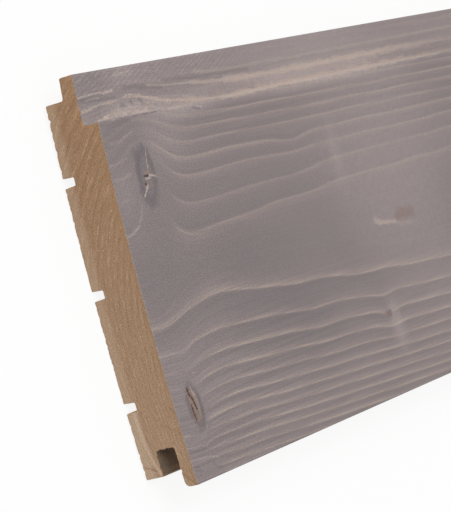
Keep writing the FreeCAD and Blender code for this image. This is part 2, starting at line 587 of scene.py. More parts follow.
class Graph:
    """Adds and links nodes in one shader node tree."""

    def __init__(self, tree: bpy.types.NodeTree) -> None:
        """Take the tree to work in."""
        self.tree = tree

    def add(self, kind: str, **settings: object) -> bpy.types.Node:
        """Add a node.

        Args:
            kind: Blender's name for the node type.
            **settings: Properties of the node.

        Returns:
            The new node.
        """
        node = self.tree.nodes.new(kind)
        for name, setting in settings.items():
            setattr(node, name, setting)
        return node

    def feed(self, inputs: bpy.types.NodeInputs, given: dict[int | str, object]) -> None:
        """Give inputs what they take, by links from other nodes or as constants.

        Args:
            inputs: A node's inputs.
            given: Values, sockets, numbers or colours, by the input's number or name.
        """
        for key, value in given.items():
            source = value.socket if isinstance(value, Value) else value
            if isinstance(source, bpy.types.NodeSocket):
                self.tree.links.new(source, inputs[key])
            else:
                inputs[key].default_value = source

    def node(self, kind: str, given: dict[int | str, object], output: int | str = 0,
             **settings: object) -> Value:
        """Add a node that gives one value.

        Args:
            kind: Blender's name for the node type.
            given: What goes into it, by the input's number or name.
            output: Number or name of the output.
            **settings: Properties of the node.

        Returns:
            The value at that output.
        """
        node = self.add(kind, **settings)
        self.feed(node.inputs, given)
        return Value(self, node.outputs[output])

    def math(self, operation: str, *values: object) -> Value:
        """Add a sum of numbers and values, by Blender's name for it."""
        return self.node("ShaderNodeMath", dict(enumerate(values)), operation=operation)

    def reach(self, operation: str, first: Value, second: Value, output: str = "Vector") -> Value:
        """Add a sum of vectors, by Blender's names for it and for its output."""
        other = "Scale" if operation == "SCALE" else 1
        return self.node("ShaderNodeVectorMath", {0: first, other: second}, output, operation=operation)

    def mix(self, share: object, first: object, second: object, blend: str = "MIX") -> Value:
        """Mix a share of a second colour into a first one."""
        given = {0: share, 6: first, 7: second}
        return self.node("ShaderNodeMix", given, 2, data_type="RGBA", blend_type=blend)

    def layers(self, ground: object, *coats: tuple[object, object]) -> Value:
        """Lay coats of colour over a ground.

        Args:
            ground: The first colour.
            *coats: Each coat's share and colour, in order.

        Returns:
            The colour that shows.
        """
        for share, colour in coats:
            ground = self.mix(share, ground, colour)
        return ground

    def attribute(self, name: str) -> Value:
        """Read a number that the mesh carries at its points."""
        return self.node("ShaderNodeAttribute", {}, "Fac", attribute_name=name)

    def vector(self, *parts: object) -> Value:
        """Join three numbers or values into a vector."""
        return self.node("ShaderNodeCombineXYZ", dict(enumerate(parts)))

    def noise(self, parts: tuple[object, object, object], detail: float, roughness: float = 0.5) -> Value:
        """Add soft noise from 0 to 1, at places whose unit is one speck."""
        given = {"Vector": self.vector(*parts), "Scale": 1.0, "Detail": detail, "Roughness": roughness}
        return self.node("ShaderNodeTexNoise", given)

    def group(self, tree: bpy.types.NodeTree, **given: object) -> dict[str, Value]:
        """Place a node group.

        Args:
            tree: The group.
            **given: Numbers or values for its named inputs.

        Returns:
            The group's values by name.
        """
        node = self.add("ShaderNodeGroup", node_tree=tree)
        self.feed(node.inputs, given)
        return {socket.name: Value(self, socket) for socket in node.outputs}

    def strokes(self, tree: bpy.types.NodeTree, strokes: tuple[Stroke, ...], place: Value,
                wide: object) -> Value:
        """Draw several strokes.

        Args:
            tree: The group that draws one straight piece.
            strokes: The strokes.
            place: Places on the face or the end.
            wide: Share that widens and narrows them.

        Returns:
            Mask of all of them together.
        """
        masks = [self.group(tree, Place=place, From=(*start, 0.0), To=(*end, 0.0), Half=stroke.half_width,
                            Wide=wide, Strength=stroke.strength)["Mask"]
                 for stroke in strokes for start, end in stroke.pieces()]
        return functools.reduce(Value.most, masks)

    def seen(self) -> Value:
        """Tell which rays show the white room.

        Returns:
            1 for the camera's rays, for mirrored ones and for those through glass, or else 0.
        """
        path = self.add("ShaderNodeLightPath").outputs
        shown = self.math("MAXIMUM", path["Is Camera Ray"], path["Is Glossy Ray"])
        return shown.most(path["Is Transmission Ray"])


class WoodEffects:
    """Node groups that the board's finishes share."""

    def __init__(self) -> None:
        """Build each group once."""
        self.rings = self.make_rings()
        self.fibres = self.make_fibres()
        self.stroke = self.make_stroke()

    @staticmethod
    def start(name: str, inputs: tuple[str, ...],
              outputs: tuple[str, ...]) -> tuple[Graph, dict[str, Value], bpy.types.NodeInputs]:
        """Make an empty group, with vectors for places and numbers for all else.

        Args:
            name: The group's name.
            inputs: Names of its inputs.
            outputs: Names of its outputs.

        Returns:
            A graph to work in, what comes into the group, and what goes out of it.
        """
        tree = bpy.data.node_groups.new(name, "ShaderNodeTree")
        for socket in inputs:
            kind = "NodeSocketVector" if socket in ("Place", "From", "To") else "NodeSocketFloat"
            tree.interface.new_socket(name=socket, in_out="INPUT", socket_type=kind)
        for socket in outputs:
            tree.interface.new_socket(name=socket, in_out="OUTPUT", socket_type="NodeSocketFloat")
        graph = Graph(tree)
        given = {socket.name: Value(graph, socket) for socket in graph.add("NodeGroupInput").outputs}
        return graph, given, graph.add("NodeGroupOutput").inputs

    def make_rings(self) -> bpy.types.NodeTree:
        """Build the growth rings: a hard line that comes up slowly and ends sharply.

        Returns:
            Group that takes a ring count, the rings' spacing in mm and a width, and gives the hard line, the
            rise of tone before it, the drop after it, and a number of each ring's own.
        """
        graph, given, made = self.start("growth_rings", ("Rings", "Spacing", "Width"),
                                        ("Line", "Rise", "Drop", "Own"))
        spacing, width = given["Spacing"], given["Width"]
        part = graph.math("FRACT", given["Rings"])
        ahead, behind = (1.0 - part) * spacing, part * spacing

        def fade(distance: Value, reach: Value) -> Value:
            """Let a value fall from 1 with the distance."""
            return graph.math("EXPONENT", distance / reach * -1.0)

        slow = fade(ahead, (spacing * LINE_RISE_SHARE + LINE_RISE) * width)
        whole = {"W": graph.math("ROUND", given["Rings"])}
        graph.feed(made, {
            "Line": slow.most(fade(behind, width * 0.2)),
            "Rise": fade(ahead, width * 2.2),
            "Drop": fade(behind, width * 1.3),
            "Own": graph.node("ShaderNodeTexWhiteNoise", whole, "Value", noise_dimensions="1D"),
        })
        return graph.tree

    def make_fibres(self) -> bpy.types.NodeTree:
        """Build the fibres: streaks along the grain at four sizes.

        Returns:
            Group that takes places in mm along and across the grain and a streak's width in mm, and gives
            streaks, fine fibres, short fuzz and broad patches, each from 0 to 1.
        """
        graph, given, made = self.start("wood_fibres", ("Along", "Across", "Depth", "Width"),
                                        ("Streak", "Fine", "Fuzz", "Patch"))
        sizes = {"Streak": (0.03, 1.0, 3.0), "Fine": (0.2, 0.32, 2.0), "Fuzz": (0.75, 0.45, 2.0),
                 "Patch": (0.02, 22.0, 2.0)}
        for name, (along, width, detail) in sizes.items():
            scale = given["Width"] * width
            place = (given["Along"] * along, given["Across"] / scale, given["Depth"] / scale)
            graph.feed(made, {name: graph.noise(place, detail)})
        return graph.tree

    def make_stroke(self) -> bpy.types.NodeTree:
        """Build one straight piece of a stroke.

        Returns:
            Group that takes a place, the piece's two ends, its half width in mm, a share of that width and
            its strength, and gives a mask with a soft edge.
        """
        graph, given, made = self.start("stroke", ("Place", "From", "To", "Half", "Wide", "Strength"),
                                        ("Mask",))
        off = graph.reach("SUBTRACT", given["Place"], given["From"])
        line = graph.reach("SUBTRACT", given["To"], given["From"])
        whole = graph.reach("DOT_PRODUCT", line, line, "Value")
        part = graph.reach("DOT_PRODUCT", off, line, "Value") / whole
        part = graph.math("MINIMUM", part.most(0.0), 1.0)
        gap = graph.reach("DISTANCE", off, graph.reach("SCALE", line, part), "Value")
        gap = gap / (given["Half"] * given["Wide"])
        graph.feed(made, {"Mask": gap.ramp(0.1, 1.7, 1.0, 0.0) * given["Strength"]})
        return graph.tree


def new_material(name: str) -> tuple[bpy.types.Material, Graph, bpy.types.Node]:
    """Make a material with a Principled BSDF.

    Args:
        name: The material's name.

    Returns:
        The material, a graph to work in and the shader.
    """
    material = bpy.data.materials.new(name)
    material.use_nodes = True
    shader = material.node_tree.nodes["Principled BSDF"]
    return material, Graph(material.node_tree), shader


def put_in_scene(name: str, data: bpy.types.ID) -> bpy.types.Object:
    """Stand a mesh, lamp or camera in the scene.

    Args:
        name: The object's name.
        data: What it shows.

    Returns:
        The new object.
    """
    made = bpy.data.objects.new(name, data)
    bpy.context.scene.collection.objects.link(made)
    return made


@dataclass(frozen=True)
class Finish:
    """What the finishes have in common: their sheen and their fine relief."""

    roughness: float
    specular: float
    relief: float
    relief_height: float

    def dress(self, graph: Graph, shader: bpy.types.Node, colour: Value, speck: Value, rough: Value,
              height: Value) -> None:
        """Lead the finish into the shader.

        Args:
            graph: The material's graph.
            shader: Its Principled BSDF.
            colour: Colour without specks.
            speck: Share of that colour's brightness.
            rough: Roughness.
            height: Fine relief.
        """
        bump = {"Strength": self.relief, "Distance": self.relief_height, "Height": height}
        graph.feed(shader.inputs, {
            "Base Color": graph.mix(1.0, colour, graph.vector(speck, speck, speck), "MULTIPLY"),
            "Roughness": rough,
            "Specular IOR Level": self.specular,
            "Normal": graph.node("ShaderNodeBump", bump, "Normal"),
        })


@dataclass(frozen=True)
class StainedFinish(Finish):
    """Thin grey stain on a brushed face: it sinks into the soft wood and wears pale on the hard lines."""

    roughness: float = 0.7
    specular: float = 0.17
    relief: float = 0.4
    relief_height: float = 0.2 * MM
    cutter_turn: float = math.radians(22.0)
    cutter_pitch: float = 1.7
    ground: Colour = shade(131, 121, 121)
    lit: Colour = shade(143, 132, 131)
    hollow: Colour = shade(113, 105, 106)
    line: Colour = shade(180, 162, 150)
    # Pale of thinly stained blotches, also used for painted light.
    blotch_and_painted_light: Colour = shade(163, 151, 149)
    dim: Colour = shade(110, 102, 104)
    bare_bloom: Colour = shade(182, 168, 163)
    knot_rim: Colour = shade(104, 95, 98)
    knot_grey: Colour = shade(119, 111, 113)
    knot_brown: Colour = shade(132, 114, 102)
    dusk: Colour = shade(108, 99, 102)
    brown: Colour = shade(150, 122, 106)
    beige: Colour = shade(188, 170, 159)
    pale: Colour = shade(190, 173, 165)
    crack: Colour = shade(66, 50, 42)
    fringe: Colour = shade(148, 130, 118)

    def cutter_marks(self, graph: Graph, along: Value, across: Value, strip: Value) -> Value:
        """Lay the slanting marks that a dull cutter left on the strip in front of the tongue.

        Args:
            graph: The material's graph.
            along: Places along the board.
            across: Places across the board.
            strip: 1 on the strip.

        Returns:
            Mask of the marks.
        """
        cosine, sine = math.cos(self.cutter_turn), math.sin(self.cutter_turn)
        lengthwise = along * cosine + across * sine
        sideways = along * sine - across * cosine
        sway = graph.noise((lengthwise * 0.07, sideways * 0.35, 0.0), 2.0) * 8.0
        wave = graph.math("SINE", sideways * (TURN / self.cutter_pitch) + sway)
        patch = graph.noise((along * 0.2, across * 0.3, 3.0), 2.0)
        marks = wave.ramp(-0.6, 1.0) * patch.ramp(0.35, 0.6, 0.2, 1.0)
        return marks * strip * across.ramp(136.5, 139.5) * along.ramp(75.0, 150.0, 1.0, 0.2)

    @staticmethod
    def ring_strength(own: Value, along: Value, across: Value, strip: Value) -> Value:
        """Say how strongly each ring shows, which is little near the sawn end and on the strip.

        Args:
            own: Each ring's own number.
            along: Places along the board.
            across: Places across the board.
            strip: 1 on the strip.

        Returns:
            Strengths.
        """
        plain = (own * 0.2 + 0.54) * across.ramp(44.0, 90.0, 0.95, 0.8)
        row = across.ramp(42.0, 46.0) * across.ramp(60.0, 66.0, 1.0, 0.0) * 0.85
        above = across.ramp(110.0, 117.0) * along.ramp(10.0, 36.0, 0.36, 0.75)
        below = across.ramp(34.0, 40.0, 1.0, 0.0) * along.ramp(12.0, 26.0, 0.25, 0.9)
        waking = along.ramp(12.0, 44.0, 0.22, 1.0).most(row).most(above).most(below)
        on_strip = strip * (along.ramp(230.0, 330.0, 0.08, 1.1) - 1.0) + 1.0
        return plain * waking * across.ramp(118.0, 125.0, 1.0, 0.75) * on_strip

    def material(self, effects: WoodEffects) -> bpy.types.Material:
        """Make the material.

        Args:
            effects: The node groups to use.

        Returns:
            The finished material.
        """
        material, graph, shader = new_material("grey_stain")
        along, across, depth, strip = map(graph.attribute, ("along", "across", "depth", "strip"))
        rings = graph.group(effects.rings, Rings=graph.attribute("ring"), Spacing=graph.attribute("spacing"),
                            Width=across.ramp(66.0, 96.0, 1.6, 1.65))
        fibres = graph.group(effects.fibres, Along=along, Across=graph.attribute("flow"), Depth=depth,
                             Width=0.8)
        fuzz = graph.noise((along * 1.1, across * 2.1, depth * 2.1), 2.0, 0.6)
        ragged = graph.noise((along * 0.4, across * 0.3, 0.0), 3.0, 0.6)
        torn = graph.noise((along * 0.9, across * 0.9, 5.0), 3.0, 0.65) - 0.5

        # The rings fade beside knots and in the middle of the face.
        knot = (ragged - 0.5) * 0.6 + graph.attribute("knot")
        beside = across.ramp(50.0, 70.0) * across.ramp(106.0, 116.0, 1.0, 0.0)
        calm = (knot * (beside * -0.7 + 1.5)).ramp(1.5, 2.9, 0.06, 1.0)
        strength = self.ring_strength(rings["Own"], along, across, strip) * calm
        line = rings["Line"] * strength * (fuzz * 0.6 + fibres["Streak"]).ramp(0.55, 1.0, 0.5, 1.0)
        cutter = self.cutter_marks(graph, along, across, strip)
        mottle_and_painted_light = graph.attribute("blotch_and_painted_light") * ragged.ramp(0.3, 0.65, 0.85, 1.15)
        heart = graph.layers(self.knot_grey, (graph.attribute("brown"), self.knot_brown),
                             (knot.ramp(0.5, 0.88, 0.0, 0.85), self.knot_rim))
        colour = graph.layers(
            self.ground,
            (rings["Rise"] * strength * 0.75, self.lit),
            (rings["Drop"] * strength * 0.8, self.hollow),
            # Paler and darker blotches where the stain took thinly or thickly, with painted light on top:
            # paler farther along the board, painted shade in the middle of the face. The strip in front of
            # the tongue is made paler with the same pale colour.
            (mottle_and_painted_light.ramp(0.0, 1.0, 0.0, 0.5), self.blotch_and_painted_light),
            (mottle_and_painted_light.ramp(0.9, 2.0, 0.0, 0.6), self.bare_bloom),
            (mottle_and_painted_light.ramp(0.0, -1.0, 0.0, 0.5), self.dim),
            (strip * 0.3, self.blotch_and_painted_light),
            (line, self.line),
            (cutter * 0.21, self.pale),
            (knot.ramp(0.8, 1.25, 0.75, 0.0), heart),
        )

        # Single marks have rough edges near the sawn end and run out further along.
        near = along.ramp(45.0, 85.0, 1.0, 0.06)
        rough_edge = torn * near
        place = graph.vector(rough_edge * 1.6 + along, rough_edge * 0.7 + across, 0.0)
        wide = graph.noise((along * 0.13, across * 0.5, 9.0), 2.0, 0.6).ramp(0.3, 0.7, 0.55, 1.4)
        kept = (1.0 - fuzz.ramp(0.3, 0.6, 0.4, 0.0) * near) * along.ramp(215.0, 345.0, 1.0, 0.0)
        for tone, strokes in FACE_STROKES.items():
            if tone is Tone.CRACK:
                mask = graph.strokes(effects.stroke, strokes, place, 1.0)
            else:
                mask = graph.strokes(effects.stroke, strokes, place, wide) * kept
            colour = graph.mix(mask, colour, getattr(self, tone.value))
        fringe = (torn * 1.8 + along).ramp(0.2, 1.3, 0.7, 0.0) * fuzz.ramp(0.3, 0.6, 0.3, 1.0)
        colour = graph.mix(fringe, colour, self.fringe)

        # Fuzz and fibres break up the tone, the fibres least where the rings stand far apart.
        grain = fuzz.ramp(0.3, 0.7, -0.14, 0.14) * along.ramp(30.0, 130.0, 1.0, 0.4)
        grain = grain * beside.ramp(0.0, 1.0, 1.0, 1.15)
        corner = across.ramp(100.0, 108.0) * along.ramp(50.0, 90.0, 1.0, 0.0)
        still = beside.most(corner - strip)
        streak = fibres["Streak"].ramp(0.3, 0.7, -0.06, 0.06) * along.ramp(40.0, 120.0, 1.0, 0.5)
        streak = streak * still.ramp(0.0, 1.0, 1.0, 0.4) * across.ramp(34.0, 48.0, 1.55, 1.0)
        speck = (grain + 1.0) * fibres["Fine"].ramp(0.3, 0.7, 0.97, 1.03) * (streak + 1.0)
        rough = line.ramp(0.0, 0.8, self.roughness, self.roughness - 0.12)
        height = line + fibres["Fine"] * 0.3 + fuzz * 0.5 + cutter * 0.5
        self.dress(graph, shader, colour, speck, rough, height)
        return material


@dataclass(frozen=True)
class BareFinish(Finish):
    """Planed softwood without stain, on the back and round the tongue, with shade painted into the groove,
    darkest where it opens at the near sawn end.
    """

    roughness: float = 0.62
    specular: float = 0.35
    relief: float = 0.25
    relief_height: float = 0.15 * MM
    early: Colour = shade(204, 174, 134)
    late: Colour = shade(172, 130, 88)
    pale: Colour = shade(216, 190, 152)
    # Painted shade for the groove: where it opens at the sawn end, and further in.
    mouth: Colour = shade(92, 76, 65)
    painted_groove_shade: Colour = shade(146, 124, 106)
    knot: Colour = shade(122, 84, 56)

    def material(self, effects: WoodEffects) -> bpy.types.Material:
        """Make the material.

        Args:
            effects: The node groups to use.

        Returns:
            The finished material.
        """
        material, graph, shader = new_material("bare_softwood")
        along = graph.attribute("along")
        rings = graph.group(effects.rings, Rings=graph.attribute("ring"), Spacing=graph.attribute("spacing"),
                            Width=1.5)
        fibres = graph.group(effects.fibres, Along=along, Across=graph.attribute("flow"),
                             Depth=graph.attribute("depth"), Width=0.7)
        # Painted shade inside the groove: darkest where it opens at the near sawn end, lighter from there in.
        inside = graph.mix(along.ramp(0.5, 12.0), self.mouth, self.painted_groove_shade)
        colour = graph.layers(
            self.early,
            (fibres["Patch"].ramp(0.35, 0.7), self.pale),
            (rings["Line"] * (rings["Own"] * 0.35 + 0.4), self.late),
            (rings["Rise"] * 0.2, self.late),
            (graph.attribute("knot").ramp(0.75, 1.15, 0.9, 0.0), self.knot),
            (graph.attribute("painted_groove_shade") * 0.92, inside),
        )
        speck = (fibres["Fuzz"] * 0.4 + fibres["Streak"] * 0.6).ramp(0.3, 0.7, 0.9, 1.08)
        rough = fibres["Fine"].ramp(0.2, 0.8, self.roughness - 0.06, self.roughness + 0.08)
        self.dress(graph, shader, colour, speck, rough, fibres["Fine"] * 0.5 + fibres["Streak"])
        return material


@dataclass(frozen=True)
class EndGrainFinish(Finish):
    """The sawn end: rings cut across, torn fibres and open pores."""

    roughness: float = 0.85
    specular: float = 0.25
    relief: float = 0.55
    relief_height: float = 0.25 * MM
    tongue_side: Colour = shade(146, 116, 88)
    groove_side: Colour = shade(157, 130, 105)
    late: Colour = shade(120, 88, 64)
    rose: Colour = shade(176, 144, 124)
    pore: Colour = shade(226, 202, 172)
    amber: Colour = shade(184, 128, 74)
    under_face: Colour = shade(140, 111, 80)
    pale: Colour = shade(200, 181, 160)
    crack: Colour = shade(118, 80, 58)

    def material(self, effects: WoodEffects) -> bpy.types.Material:
        """Make the material.

        Args:
            effects: The node groups to use.

        Returns:
            The finished material.
        """
        material, graph, shader = new_material("sawn_end")
        across, depth = graph.attribute("across"), graph.attribute("depth")

        def specks(size: float, layer: float, roughness: float) -> Value:
            """Scatter specks of one size over the end."""
            return graph.noise((across / size, depth / size, layer), 2.0, roughness)

        grit, pores, dust = specks(0.4, 7.0, 0.65), specks(0.62, 0.0, 0.4), specks(0.9, 3.0, 0.5)
        wander = specks(2.4, 5.0, 0.6)
        stray = wander - 0.5
        count = stray * 0.35 + graph.attribute("end_ring")
        rings = graph.group(effects.rings, Rings=count, Spacing=2.0, Width=0.9)
        streak = graph.group(effects.fibres, Along=graph.attribute("end_arc") * 4.0, Across=count * 2.0,
                             Depth=0.0, Width=0.5)["Streak"]
        shallow = stray * 2.0 + depth
        strip_rim = shallow.ramp(11.2, 13.4) * across.ramp(126.5, 128.5)
        face_rim = shallow.ramp(16.4, 19.0) * across.ramp(50.0, 120.0, 0.1, 0.55)
        colour = graph.layers(
            self.groove_side,
            (across.ramp(0.0, 130.0), self.tongue_side),
            (rings["Line"] * (rings["Own"] * 0.45 + 0.28) * wander.ramp(0.35, 0.6, 0.4, 1.0), self.late),
            (rings["Drop"] * wander.ramp(0.4, 0.65, 0.0, 0.35), self.rose),
            (streak.ramp(0.53, 0.75, 0.0, 0.2), self.pore),
            (streak.ramp(0.48, 0.28, 0.0, 0.28), self.late),
            (dust.ramp(0.58, 0.7, 0.0, 0.34), self.amber),
            (dust.ramp(0.42, 0.3, 0.0, 0.36), self.late),
            (shallow.ramp(16.8, 19.4, 0.0, 0.45), self.under_face),
            (strip_rim.most(face_rim) * dust.ramp(0.42, 0.62, 0.06, 0.4), self.amber),
            (depth.ramp(2.2, 5.4, 0.33, 0.0) * across.ramp(24.0, 34.0, 1.0, 0.65), self.pale),
        )
        place = graph.vector(stray * 1.2 + across, depth, 0.0)
        for tone, strokes in END_STROKES.items():
            mask = graph.strokes(effects.stroke, strokes, place, 1.0) * grit.ramp(0.3, 0.65, 0.5, 1.0)
            colour = graph.mix(mask, colour, getattr(self, tone.value))
        colour = graph.mix(pores.ramp(0.66, 0.76, 0.0, 0.5), colour, self.pore)
        rough = grit.ramp(0.2, 0.8, self.roughness + 0.05, self.roughness - 0.08)
        self.dress(graph, shader, colour, grit.ramp(0.28, 0.72, 0.8, 1.23), rough, streak * 0.5 + grit)
        return material


NEAR_KNOTS = (
    Knot(22.7, 106.2, 5.7, 10.6, 0.05, 0.0),
    Knot(13.1, 25.4, 4.2, 8.4, -0.05, 1.0),
    Knot(170.3, 31.3, 2.0, 1.9, 0.0, 1.0),
)

NEAR_SWELLINGS = (
    Patch(22.7, 106.2, 10.0, 12.5, 1.7),
    Patch(26.0, 126.0, 16.0, 9.0, 1.1),
    Patch(13.1, 25.4, 8.0, 10.0, 0.35),
    Patch(2.0, 50.0, 18.0, 22.0, 0.75),
    Patch(16.0, 44.0, 4.0, 4.5, 0.16),
    Patch(131.0, 107.5, 9.0, 3.2, -0.38),
    Patch(170.3, 31.3, 7.0, 9.0, 0.3),
)

FACE_STROKES: dict[Tone, tuple[Stroke, ...]] = {
    Tone.DUSK: (
        Stroke(((18.3, 116.0), (17.8, 110.5), (17.2, 102.0), (18.8, 98.0)), 1.5, 0.55),
        Stroke(((27.6, 111.5), (27.4, 108.0)), 1.0, 0.35),
        Stroke(((19.5, 97.2), (22.5, 98.0)), 1.2, 0.35),
        Stroke(((8.8, 28.5), (9.0, 23.5)), 0.9, 0.5),
        Stroke(((16.6, 31.0), (17.3, 25.0), (16.7, 20.8)), 0.8, 0.55),
        Stroke(((31.0, 138.4), (38.0, 138.2), (46.0, 137.3), (56.0, 136.3)), 0.9, 0.42),
        Stroke(((58.0, 138.2), (88.0, 137.4), (120.0, 136.8)), 0.9, 0.3),
        Stroke(((1.0, 136.6), (14.0, 135.6), (24.0, 135.6)), 0.7, 0.4),
        # Dark specks where fibres tore out of the strip, and a dark line along the face's edge under the torn
        # patch: painted shade in the pits and painted shadow of the torn edges.
        Stroke(((22.0, 127.4), (34.0, 127.5), (46.0, 127.45)), 0.25, 0.5),
        Stroke(((26.5, 132.3), (28.8, 132.2)), 1.0, 0.5),
        Stroke(((33.2, 133.4), (33.9, 132.5)), 0.45, 0.65),
        Stroke(((38.8, 133.6), (40.2, 133.0), (41.1, 131.9)), 0.4, 0.6),
        Stroke(((63.5, 126.3), (69.0, 125.6)), 0.5, 0.5),
        Stroke(((2.0, 126.3), (20.0, 126.9)), 1.6, 0.3),
        Stroke(((0.2, 6.3), (4.2, 5.5)), 0.35, 0.5),
        Stroke(((0.8, 4.8), (5.0, 4.1)), 0.3, 0.5),
        Stroke(((14.0, 5.2), (14.8, 3.4), (16.5, 2.7), (19.0, 2.6)), 0.4, 0.5),
        Stroke(((0.0, 11.4), (5.0, 10.9), (12.0, 10.4)), 0.5, 0.4),
        Stroke(((200.5, 67.2), (214.0, 67.2)), 2.2, 0.4),
    ),
    Tone.BROWN: (
        Stroke(((22.0, 107.8), (24.4, 107.6)), 0.9, 0.55),
        Stroke(((22.6, 105.0), (23.6, 103.0)), 1.2, 0.35),
        Stroke(((11.3, 30.0), (11.6, 22.0)), 1.1, 0.45),
        Stroke(((200.5, 66.8), (214.0, 66.8)), 2.4, 0.3),
        Stroke(((168.9, 31.6), (171.6, 31.1)), 1.6, 0.3),
    ),
    Tone.BEIGE: (
        Stroke(((0.0, 132.3), (5.0, 133.0), (13.0, 134.1), (24.0, 134.2)), 0.5, 0.75),
        Stroke(((29.0, 135.1), (34.0, 135.3), (40.0, 134.4), (45.0, 133.3), (52.0, 132.0),
                (60.0, 130.8), (70.0, 129.9)), 0.6, 0.75),
        Stroke(((70.0, 129.8), (80.0, 128.9), (92.0, 128.2), (110.0, 128.2), (140.0, 128.6),
                (350.0, 128.5)), 1.2, 0.8),
        Stroke(((46.0, 137.9), (55.0, 136.8), (66.0, 136.2), (76.0, 135.8), (88.0, 134.9)), 0.45, 0.45),
        Stroke(((76.0, 135.8), (88.0, 134.9), (98.0, 134.4)), 0.7, 0.55),
        Stroke(((92.0, 134.7), (105.0, 134.2)), 0.95, 0.55),
        Stroke(((101.0, 134.3), (130.0, 133.9), (350.0, 133.7)), 1.2, 0.66),
        Stroke(((82.0, 139.6), (88.0, 138.7), (100.0, 138.2), (350.0, 138.2)), 0.6, 0.25),
        Stroke(((14.0, 129.5), (19.0, 130.2), (24.5, 130.6)), 0.5, 0.7),
        Stroke(((43.0, 127.4), (55.0, 127.3)), 0.35, 0.5),
        Stroke(((13.4, 31.8), (14.2, 29.5)), 0.6, 0.45),
        Stroke(((181.0, 67.8), (184.5, 66.2)), 1.6, 0.45),
        Stroke(((184.0, 66.2), (191.0, 65.9), (198.0, 64.9)), 1.0, 0.5),
        Stroke(((198.0, 64.5), (212.0, 63.0)), 0.9, 0.2),
    ),
    Tone.PALE: (
        Stroke(((0.0, 87.4), (5.0, 88.1), (10.0, 90.2)), 0.6, 0.38),
        Stroke(((10.0, 90.2), (13.0, 93.0), (14.8, 97.0)), 0.6, 0.22),
        Stroke(((25.7, 115.3), (24.6, 111.5), (24.2, 108.4)), 0.35, 0.5),
        Stroke(((24.0, 106.2), (26.4, 106.1), (28.1, 105.4)), 0.42, 0.8),
        Stroke(((21.6, 105.3), (24.4, 105.4)), 0.5, 0.6),
        Stroke(((21.4, 102.9), (20.0, 101.3), (18.0, 99.6)), 0.42, 0.8),
        Stroke(((14.9, 30.0), (15.2, 25.0), (14.6, 22.0)), 0.7, 0.18),
        Stroke(((17.2, 36.6), (19.0, 36.3)), 0.2, 0.3),
        Stroke(((0.4, 17.0), (3.9, 16.7)), 0.35, 0.4),
        Stroke(((1.2, 112.3), (7.3, 112.8), (12.9, 113.6)), 0.5, 0.2),
        Stroke(((2.1, 107.2), (7.4, 107.3), (13.1, 108.2)), 0.5, 0.2),
        Stroke(((2.3, 99.3), (7.8, 99.8)), 0.45, 0.16),
        Stroke(((3.2, 119.6), (11.3, 120.1), (20.4, 122.6)), 0.5, 0.18),
        Stroke(((0.6, 12.7), (5.0, 12.1), (9.0, 11.9), (12.5, 11.5), (17.0, 12.2)), 0.45, 0.26),
        Stroke(((0.4, 8.4), (4.3, 8.2), (9.5, 7.8), (15.2, 6.9), (18.0, 6.2)), 0.5, 0.24),
        Stroke(((11.5, 15.0), (14.5, 15.5), (16.9, 17.4)), 0.5, 0.15),
        Stroke(((0.0, 137.6), (12.0, 138.1), (18.0, 138.0)), 0.35, 0.6),
        Stroke(((17.0, 137.8), (23.2, 137.9)), 0.5, 0.85),
        Stroke(((5.0, 136.2), (13.5, 136.5)), 0.25, 0.45),
        Stroke(((26.0, 143.2), (37.0, 143.8)), 0.5, 0.45),
        Stroke(((9.0, 128.5), (17.0, 129.2), (30.0, 129.4), (43.0, 128.9)), 0.9, 0.7),
        Stroke(((25.0, 130.6), (36.0, 130.4)), 0.8, 0.4),
        Stroke(((35.5, 129.3), (42.5, 129.0)), 0.45, 0.6),
        Stroke(((67.0, 126.4), (70.5, 126.0)), 0.35, 0.5),
    ),
    Tone.CRACK: (
        Stroke(((20.9, 106.4), (22.4, 106.2), (23.8, 106.4)), 0.36, 1.0),
        Stroke(((20.5, 103.7), (21.0, 103.3)), 0.42, 0.9),
        # Short dark gaps along the face's edge under the torn patch: painted shadow of the torn edges.
        Stroke(((22.5, 127.4), (25.5, 127.4)), 0.25, 0.3),
        Stroke(((29.5, 127.4), (33.0, 127.45)), 0.25, 0.4),
        Stroke(((35.5, 127.4), (38.5, 127.45)), 0.25, 0.35),
        Stroke(((11.1, 31.8), (11.5, 30.4), (11.9, 29.3)), 0.6, 0.95),
        Stroke(((12.6, 28.5), (13.2, 27.0), (14.0, 24.4)), 0.52, 0.95),
        Stroke(((11.2, 26.2), (11.3, 23.6), (11.8, 21.1)), 0.5, 0.9),
    ),
}

END_STROKES: dict[Tone, tuple[Stroke, ...]] = {
    Tone.PALE: (
        Stroke(((28.5, 3.3), (22.6, 3.3), (16.5, 3.9), (10.3, 5.0), (6.4, 6.3)), 0.7, 0.5),
    ),
    Tone.CRACK: (
        Stroke(((27.4, 17.9), (25.6, 19.4)), 0.3, 0.5),
        Stroke(((22.6, 12.3), (20.4, 16.2), (18.3, 19.1)), 0.3, 0.35),
        Stroke(((9.9, 0.8), (7.5, 5.5)), 0.3, 0.55),
        Stroke(((4.9, 14.8), (0.6, 18.8)), 0.3, 0.55),
        Stroke(((7.4, 15.6), (4.6, 18.2)), 0.22, 0.3),
        Stroke(((122.8, 11.0), (120.2, 7.4)), 0.3, 0.35),
        Stroke(((132.6, 15.6), (129.8, 11.6)), 0.3, 0.35),
    ),
}

